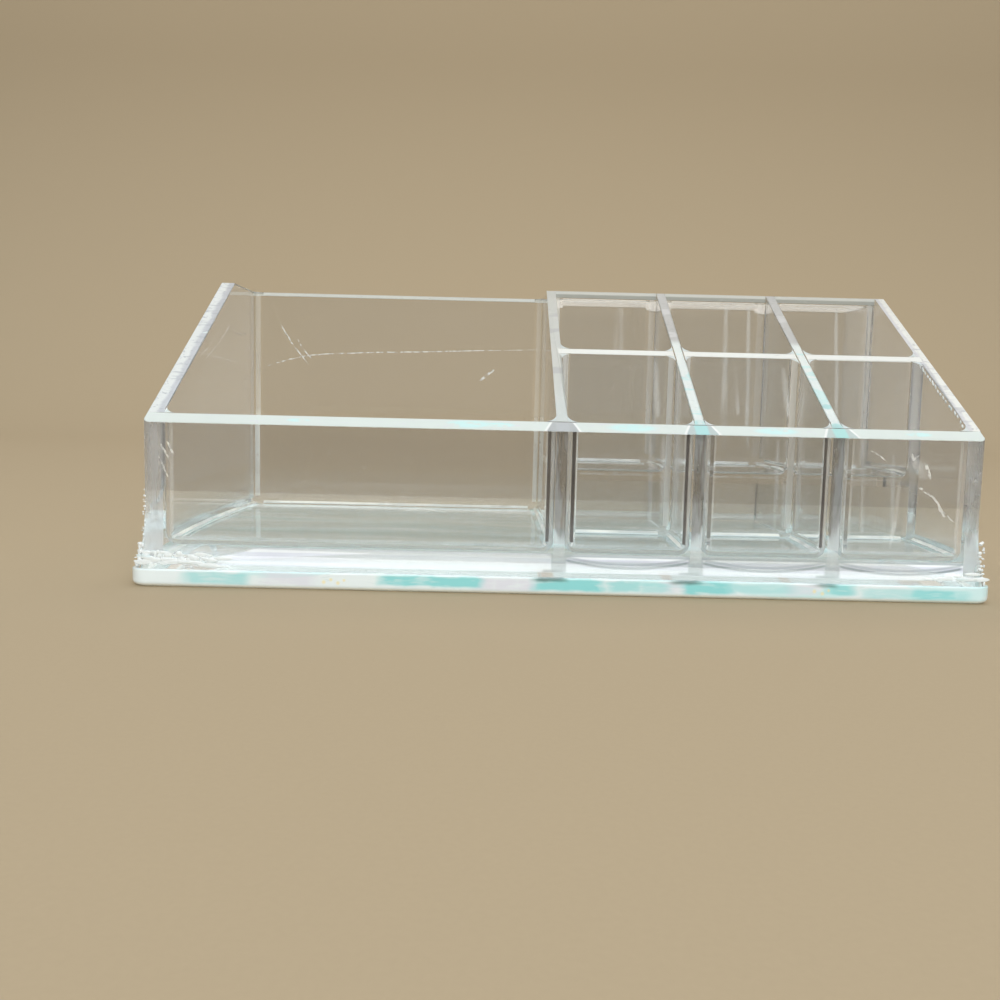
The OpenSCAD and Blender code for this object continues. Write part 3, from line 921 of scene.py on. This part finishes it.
def seam_piece(node):
    """The cement set in the corners of one compartment: its box less the round space inside."""
    low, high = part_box(node)
    outer = box_bm(low, high)
    cap(outer, *slope_plane())
    bmesh.ops.recalc_face_normals(outer, faces=outer.faces)
    piece = make_piece(node + "_cement", outer)
    # the space runs on above the cement, and bites a little into the walls
    side = Vector((SEAM_BITE, SEAM_BITE, 0))
    over = 20 * MM
    top = high.z + over
    inner = box_bm(low - side - Vector((0, 0, SEAM_BITE)), high + side + Vector((0, 0, over)))
    chosen = [e for e in inner.edges if not all(abs(v.co.z - top) < HAIR for v in e.verts)]
    bmesh.ops.bevel(inner, geom=chosen, offset=SEAM_R, offset_type="OFFSET", segments=SEAM_STEPS,
                    profile=0.5, affect="EDGES", clamp_overlap=False)
    cutter = make_piece(node + "_space", inner)
    less = piece.modifiers.new("Space", "BOOLEAN")
    less.operation = "DIFFERENCE"
    less.solver = "EXACT"
    less.object = cutter
    settle(piece)
    bpy.data.objects.remove(cutter)
    for face in piece.data.polygons:
        face.material_index = seam_kind(node, face.center, face.normal, low, high)
    return piece


def outline(half_w, half_d, radius, steps=10):
    """Points round a rectangle with round corners, the same number whatever its size."""
    points = []
    for corner, (sx, sy) in enumerate(((1, -1), (1, 1), (-1, 1), (-1, -1))):
        for k in range(steps + 1):
            angle = (corner - 1) * math.pi / 2 + k * math.pi / 2 / steps
            points.append((sx * (half_w - radius) + radius * math.cos(angle),
                           sy * (half_d - radius) + radius * math.sin(angle)))
    return points


def loft(name, rings, kinds, closed=False):
    """Skins a row of rings. rings are (points, z), and kinds gives each band's material place."""
    bm = bmesh.new()
    rows = [[bm.verts.new((x, y, z)) for x, y in points] for points, z in rings]
    count = len(rows[0])
    pairs = list(zip(rows, rows[1:]))
    if closed:
        pairs.append((rows[-1], rows[0]))
    for (a, b), kind in zip(pairs, kinds):
        for k in range(count):
            n = (k + 1) % count
            face = bm.faces.new((a[k], a[n], b[n], b[k]))
            face.material_index = kind
    if not closed:
        bm.faces.new(list(reversed(rows[0]))).material_index = kinds[-2]
        bm.faces.new(rows[-1]).material_index = kinds[-1]
    bmesh.ops.recalc_face_normals(bm, faces=bm.faces)
    return make_piece(name, bm)


def quarter(radius, steps):
    """(how far in, how far down) along a quarter round, from the side to the flat."""
    for k in range(steps + 1):
        angle = k * math.pi / 2 / steps
        yield radius * (1 - math.cos(angle)), radius * (1 - math.sin(angle))


def base_piece():
    """The base plate as one slab with a large round below and a small one above."""
    settings = bpy.context.scene.organizer_base
    low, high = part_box("base_plate")
    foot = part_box("foot_fillet")[1]
    levels = [(inward, low.z + above) for inward, above in reversed(list(quarter(settings.lower_round, 6)))]
    levels += [(inward, high.z - below) for inward, below in quarter(settings.upper_round, 4)]
    rings = [(outline(high.x - inward, high.y - inward, settings.corner_round - inward), z)
             for inward, z in levels]
    rings.append((outline(foot.x, foot.y, FOOT_CORNER_R), high.z))
    # bands, then the underside, then the cemented top
    return loft("base_plate_slab", rings, [RIM] * (len(rings) - 1) + [CLEAR, JOINT])


def foot_piece():
    """The cement round the foot of the walls, hollow in section, flaring out on the base plate."""
    low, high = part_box("foot_fillet")
    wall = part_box("front_wall")
    half_w, half_d = wall[1].x, -wall[0].y
    run, height = high.x - half_w, high.z - low.z
    joint = len(FOOT_CLEAR)
    rings, kinds = [], []
    # how far the rings crowd towards the thin top edge, and how hollow the section is
    steps, crowding, hollow = 24, 1.3, 2.6
    for k in range(steps + 1):
        up = height * (1 - (k / steps) ** crowding)
        out = run * (1 - up / height) ** hollow
        corner = BODY_CORNER_R + (FOOT_CORNER_R - BODY_CORNER_R) * out / run
        rings.append((outline(half_w + out, half_d + out, corner), low.z + up))
        kinds.append(min(k // FOOT_BANDS, joint - 1))
    rings.append((outline(half_w, half_d, BODY_CORNER_R), low.z))
    return loft("foot_fillet_cement", rings, kinds[:-1] + [joint, joint], closed=True)


# ---------------------------------------------------------------- beads, fringe and scuffs

def bead_tree():
    """Geometry nodes that strew beads of set cement along a line."""
    tree = bpy.data.node_groups.new("Cement beads", "GeometryNodeTree")
    kinds = (("Line", "Geometry"), ("Count", "Int"), ("Spread", "Vector"), ("Smallest", "Vector"),
             ("Largest", "Vector"), ("Tilt", "Float"), ("Seed", "Int"), ("Finish", "Material"))
    for label, kind in kinds:
        tree.interface.new_socket(name=label, in_out="INPUT", socket_type="NodeSocket" + kind)
    tree.interface.new_socket(name="Beads", in_out="OUTPUT", socket_type="NodeSocketGeometry")
    gin = tree.nodes.new("NodeGroupInput")
    gout = tree.nodes.new("NodeGroupOutput")
    line, count, spread, smallest, largest, tilt, seed, finish = (
        Value(tree, gin.outputs[label]) for label, _ in kinds)
    curve = add(tree, "GeometryNodeMeshToCurve", {0: line})
    points = add(tree, "GeometryNodeCurveToPoints", {"Curve": curve, "Count": count}, mode="COUNT")
    back = vector("MULTIPLY", spread, (-1, -1, -1))
    shift = add(tree, "FunctionNodeRandomValue", {0: back, 1: spread, "Seed": seed},
                data_type="FLOAT_VECTOR")
    moved = add(tree, "GeometryNodeSetPosition", {"Geometry": points, "Offset": shift})
    size = add(tree, "FunctionNodeRandomValue", {0: smallest, 1: largest, "Seed": seed + 17.0},
               data_type="FLOAT_VECTOR")
    lean = add(tree, "ShaderNodeCombineXYZ", {0: tilt})
    ball = add(tree, "GeometryNodeMeshIcoSphere", {"Radius": 1.0, "Subdivisions": 3})
    strewn = add(tree, "GeometryNodeInstanceOnPoints",
                 {"Points": moved, "Instance": ball, "Scale": size, "Rotation": lean})
    real = add(tree, "GeometryNodeRealizeInstances", {0: strewn})
    rounded = add(tree, "GeometryNodeSetShadeSmooth", {0: real})
    beads = add(tree, "GeometryNodeSetMaterial", {"Geometry": rounded, "Material": finish})
    tree.links.new(beads.socket, gout.inputs[0])
    return tree


def in_metres(size):
    """A size in three directions, from one in millimetres, which may be the same all round."""
    return tuple(v * MM for v in (size if isinstance(size, tuple) else (size,) * 3))


def beads_along(tree, finish, tilt, seed, line, count, spread, smallest, largest):
    """One line of beads as a plain mesh object, made by the bead nodes."""
    mesh = bpy.data.meshes.new("bead line")
    mesh.from_pydata([Vector(p) * MM for p in line], [(k, k + 1) for k in range(len(line) - 1)], [])
    obj = link("bead line", mesh)
    nodes = obj.modifiers.new("Beads", "NODES")
    nodes.node_group = tree
    values = {"Count": count, "Spread": in_metres(spread), "Smallest": in_metres(smallest),
              "Largest": in_metres(largest), "Tilt": tilt, "Seed": seed,
              "Finish": bpy.data.materials[finish]}
    for item in tree.interface.items_tree:
        if item.name in values:
            nodes[item.identifier] = values[item.name]
    return settle(obj)


def join(name, parts):
    """Joins loose objects into one piece. An empty material place in them is left out."""
    bm = bmesh.new()
    names = []
    for part in parts:
        names += [worn.name for worn in part.data.materials if worn and worn.name not in names]
        bm.from_mesh(part.data)
        bpy.data.objects.remove(part)
    piece = make_piece(name, bm)
    wear(piece, *names)
    return piece


def slope_at(y):
    """Height of the sloping top at a depth, in millimetres."""
    place, normal = slope_plane()
    return (place.z - (y * MM - place.y) * normal.y / normal.z) / MM


def scuff_strip(bm, points, width):
    """A thin strip along points that lie on an upright sheet's face (millimetres), tapering at its ends."""
    rows = []
    count = len(points)
    for k, (x, y, z) in enumerate(points):
        a = Vector(points[max(k - 1, 0)])
        b = Vector(points[min(k + 1, count - 1)])
        way = (b - a).normalized()
        taper = min(1.0, 0.25 + 1.5 * math.sin(math.pi * (k + 0.5) / count))
        across = Vector((-way.z, 0, way.x)) * (width / 2) * taper
        rows.append((bm.verts.new((Vector((x, y, z)) - across) * MM),
                     bm.verts.new((Vector((x, y, z)) + across) * MM)))
    for (a, b), (c, d) in zip(rows, rows[1:]):
        bm.faces.new((a, b, d, c))


def drawn_out(points, steps, wander, seed):
    """More points along a line, each moved a little along its wall, so that it isn't dead straight."""
    dice = random.Random(seed)
    out = []
    for a, b in zip(points, points[1:]):
        for k in range(steps):
            t = k / steps
            out.append(tuple(a[j] + (b[j] - a[j]) * t + (dice.uniform(-wander, wander) if j != 1 else 0)
                             for j in range(3)))
    out.append(points[-1])
    return out


def on_wall(y, strokes):
    """Strokes with their (x, z) points laid on an upright face at a depth."""
    return [([(x, y, z) for x, z in points], width) for points, width in strokes]


# ---------------------------------------------------------------- operators

class ORGANIZER_OT_panels(bpy.types.Operator):
    """Cut every flat panel, with clear faces, shining edges and cemented joints"""
    bl_idname = "organizer.panels"
    bl_label = "Sheet panels"

    def execute(self, context):
        make_materials()
        trees = solid_trees()
        planes = cut_planes()
        for node in PANELS:
            piece = cut_panel(node, trees, planes)
            wear(piece, BODIES.get(node, "Clear sheet"), RIMS.get(node, "Row rim"), "Cemented joint",
                 FRONT_ENDS.get(node, "Whitish joint"),
                 "Cloudy ledge" if node == "top_ledge" else "Cloudy joint")
            smooth(piece)
            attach(piece, BODY)
            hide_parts(node)
        return {"FINISHED"}


class ORGANIZER_OT_cement(bpy.types.Operator):
    """Set the cement in the corners of every compartment"""
    bl_idname = "organizer.cement"
    bl_label = "Seam cement"

    def execute(self, context):
        make_materials()
        for node in SEAMS:
            piece = seam_piece(node)
            wear(piece, "Set cement", "Gusset top", "Cemented joint", "Shaded cement", "Half shaded cement",
                 "Bright seam", "Thin cement", "Soft seam")
            smooth(piece, 30)
            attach(piece, BODY)
            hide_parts(node)
        return {"FINISHED"}


class ORGANIZER_OT_base(bpy.types.Operator):
    """Lay the base plate and run the cement round the foot of the walls"""
    bl_idname = "organizer.base"
    bl_label = "Base and foot"

    def execute(self, context):
        make_materials()
        slab = base_piece()
        wear(slab, "Clear base", "Base edge", "Cemented joint")
        smooth(slab, 40)
        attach(slab, BODY)
        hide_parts("base_plate")
        foot = foot_piece()
        wear(foot, *[f"Foot cement {step + 1}" for step in range(len(FOOT_CLEAR))], "Cemented joint")
        smooth(foot, 40)
        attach(foot, BODY)
        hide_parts("foot_fillet")
        return {"FINISHED"}


class ORGANIZER_OT_beads(bpy.types.Operator):
    """Strew beads and crusts of squeezed-out cement round the foot and along the right rim"""
    bl_idname = "organizer.beads"
    bl_label = "Cement beads"

    def execute(self, context):
        make_materials()
        tree = bead_tree()
        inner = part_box("right_wall")[0].x / MM
        fringe = [([(inner - 0.1, y, slope_at(y) - 0.75) for y in (-50.5, -17.0)], 18, (0.1, 0.5, 0.25),
                   (0.15, 0.5, 0.2), (0.3, 1.1, 0.45))]
        for name, finish, tilt, seed, lines in (("foot_beads", "Bright bead", 0.0, 11, FOOT_BEADS),
                                                ("right_rim_fringe", "Milky smear", 0.9, 5, fringe),
                                                ("foot_smear", "Milky smear", 0.0, 31, FOOT_CRUST)):
            beads = join(name, [beads_along(tree, finish, tilt, seed + k, *line)
                                for k, line in enumerate(lines)])
            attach(beads, BODY)
        return {"FINISHED"}


class ORGANIZER_OT_scuffs(bpy.types.Operator):
    """Draw the scratches, smears and faint lights that show on the upright faces"""
    bl_idname = "organizer.scuffs"
    bl_label = "Scuffs"

    def execute(self, context):
        make_materials()
        clearance = 0.03
        front, back, riser, row = (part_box(node)[0].y / MM - clearance for node in
                                   ("front_wall", "back_wall", "rear_riser", "row_divider"))
        strokes = on_wall(front, FRONT_SCUFFS) + on_wall(back, BACK_SCUFFS)
        levels = [([(heart - half, height), (heart + half, height)], width)
                  for heart in COLUMN_HEARTS for half, height, width in LEVEL_LIGHTS]
        lights = (on_wall(riser, RISER_LIGHTS) + on_wall(row, ROW_LIGHTS) + on_wall(front, FRONT_LIGHTS)
                  + on_wall(row, levels))
        # each light is three strips on one another, which makes its sides soft
        strips = [([(x, y - 0.01 * layer, z) for x, y, z in points], width * (1 - 0.3 * layer))
                  for points, width in lights for layer in range(3)]
        for name, rows, wander, finish in (("wall_scuffs", strokes, 0.08, "White scuff"),
                                           ("light_strips", strips, 0.01, "Faint light")):
            bm = bmesh.new()
            for k, (points, width) in enumerate(rows):
                scuff_strip(bm, drawn_out(points, 6, wander, k), width)
            scuffs = make_piece(name, bm)
            wear(scuffs, finish)
            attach(scuffs, BODY)
        return {"FINISHED"}


# ---------------------------------------------------------------- stage

def lamp(name, place, aim, size, power):
    """A soft rectangular lamp that looks at a point."""
    data = bpy.data.lights.new(name, "AREA")
    data.shape = "RECTANGLE"
    data.size, data.size_y = size
    data.energy = power
    obj = link(name, data)
    obj.location = place
    obj.rotation_euler = (Vector(aim) - Vector(place)).to_track_quat("-Z", "Y").to_euler()


def backdrop(colour):
    """One sheet that is the floor and bends up behind the object."""
    front, bend, top, half_width = -2.6, 0.75, 3.2, 3.0
    radius, steps, drop = 0.6, 24, 0.0001
    section = [(front, 0.0), (bend, 0.0)]
    for k in range(1, steps + 1):
        angle = k * math.pi / 2 / steps
        section.append((bend + radius * math.sin(angle), radius * (1 - math.cos(angle))))
    section.append((bend + radius, top))
    bm = bmesh.new()
    rows = [[bm.verts.new((x, y, z - drop)) for y, z in section] for x in (-half_width, half_width)]
    for k in range(len(section) - 1):
        bm.faces.new((rows[0][k], rows[1][k], rows[1][k + 1], rows[0][k + 1]))
    obj = make_piece("floor", bm)
    smooth_all(obj.data)
    floor_material(colour)
    wear(obj, "Plain floor")
    return obj


def camera(lens):
    """The camera at the photograph's viewing angle, framed for a square picture."""
    yaw, pitch, roll = 0.0092, 0.1048, 0.0238
    place = Vector((-20.85, -339.07, 55.97)) * MM
    ahead = Vector((math.sin(yaw) * math.cos(pitch), math.cos(yaw) * math.cos(pitch), -math.sin(pitch)))
    right = Vector((math.cos(yaw), -math.sin(yaw), 0))
    up = right.cross(ahead)
    turned_right = right * math.cos(roll) + up * math.sin(roll)
    turned_up = up * math.cos(roll) - right * math.sin(roll)
    data = bpy.data.cameras.new("camera")
    data.sensor_width = 36
    data.lens = lens
    data.clip_start = 0.01
    obj = link("camera", data)
    basis = Matrix((turned_right, turned_up, -ahead)).transposed().to_4x4()
    obj.matrix_world = Matrix.Translation(place) @ basis
    bpy.context.scene.camera = obj


class ORGANIZER_OT_stage(bpy.types.Operator):
    """Set up the plain floor, the soft lamps and the camera"""
    bl_idname = "organizer.stage"
    bl_label = "Stage"

    def execute(self, context):
        stage = context.scene.organizer_stage
        backdrop(tuple(stage.floor))
        world = bpy.data.worlds.new("room")
        world.use_nodes = True
        context.scene.world = world
        room = world.node_tree
        way = add(room, "ShaderNodeTexCoord", out="Generated")
        up = way.axis("Z").ramp(-0.05, 0.75)
        side = 1.0 - abs(way.axis("X")).ramp(0.55, 0.95) * 0.6
        shade = blend((up * 0.65 + 0.35) * side, (0.0, 0.0, 0.0), (0.93, 0.97, 1.0))
        back = room.nodes["Background"]
        room.links.new(shade.socket, back.inputs["Color"])
        back.inputs["Strength"].default_value = stage.world
        for name, place, aim, size, share in (
                ("upper lamp", (0.0, 0.85, 1.6), (0, 0, 0), (3.2, 0.9), 2.6),
                ("front lamp", (0.15, -1.55, 0.9), (0, 0.2, 0.1), (1.8, 0.9), 5.7),
                ("backdrop lamp", (0.0, 0.3, 2.2), (0, 1.35, 0.75), (3.0, 0.5), 3.8)):
            lamp(name, place, aim, size, stage.key * share)
        context.scene.view_settings.view_transform = "Standard"
        cycles = context.scene.cycles
        cycles.max_bounces = 18
        cycles.transmission_bounces = 14
        cycles.transparent_max_bounces = 32
        cycles.glossy_bounces = 12
        camera(stage.lens)
        return {"FINISHED"}


class ORGANIZER_PT_sidebar(bpy.types.Panel):
    """The organizer's steps, in order"""
    bl_label = "Vanity organizer"
    bl_idname = "ORGANIZER_PT_sidebar"
    bl_space_type = "VIEW_3D"
    bl_region_type = "UI"
    bl_category = "Organizer"

    def draw(self, context):
        for group in (context.scene.organizer_sheet, context.scene.organizer_base,
                      context.scene.organizer_stage):
            for name in group.__annotations__:
                self.layout.prop(group, name)
        for step in OPERATORS:
            self.layout.operator(step.bl_idname)


SETTINGS = {"organizer_sheet": OrganizerSheet, "organizer_base": OrganizerBase,
            "organizer_stage": OrganizerStage}
OPERATORS = (ORGANIZER_OT_stage, ORGANIZER_OT_panels, ORGANIZER_OT_cement, ORGANIZER_OT_base,
             ORGANIZER_OT_beads, ORGANIZER_OT_scuffs)


def register():
    for kind in (*SETTINGS.values(), *OPERATORS, ORGANIZER_PT_sidebar):
        bpy.utils.register_class(kind)
    for name, kind in SETTINGS.items():
        setattr(bpy.types.Scene, name, bpy.props.PointerProperty(type=kind))


def unregister():
    for name in SETTINGS:
        delattr(bpy.types.Scene, name)
    for kind in (ORGANIZER_PT_sidebar, *reversed(OPERATORS), *reversed(SETTINGS.values())):
        bpy.utils.unregister_class(kind)


def main():
    register()
    bpy.ops.organizer.stage()
    bpy.ops.organizer.panels()
    bpy.ops.organizer.cement()
    bpy.ops.organizer.base()
    bpy.ops.organizer.beads()
    bpy.ops.organizer.scuffs()


if __name__ == "__main__":
    main()
